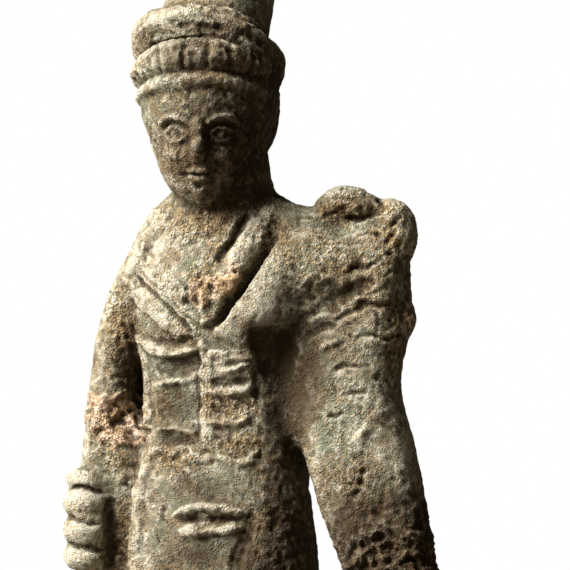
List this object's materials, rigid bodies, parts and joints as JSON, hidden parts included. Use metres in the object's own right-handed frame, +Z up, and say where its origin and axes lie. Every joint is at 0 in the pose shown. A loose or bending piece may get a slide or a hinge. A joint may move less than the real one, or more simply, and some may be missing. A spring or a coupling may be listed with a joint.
{
  "type": "deity statuette",
  "caption": "Small cast bronze statuette of a standing deity in a tall cap, one arm hanging with a clenched fist, a heavy cloak over the other, on a low oval base.",
  "frame": {"origin": "middle of the flat underside of the oval base", "axes": "+Z up along the figure, -Y the way the figure looks, +X to the figure's left"},
  "size_m": [0.0408, 0.029, 0.1272],
  "materials": {
    "bronze": "cast bronze with a dull grey-green patina, tan earth in the hollows, pinkish crust by the arm and pitted corrosion all over"
  },
  "bodies": {
    "root": {"statuette": "bronze"}
  },
  "joints": []
}
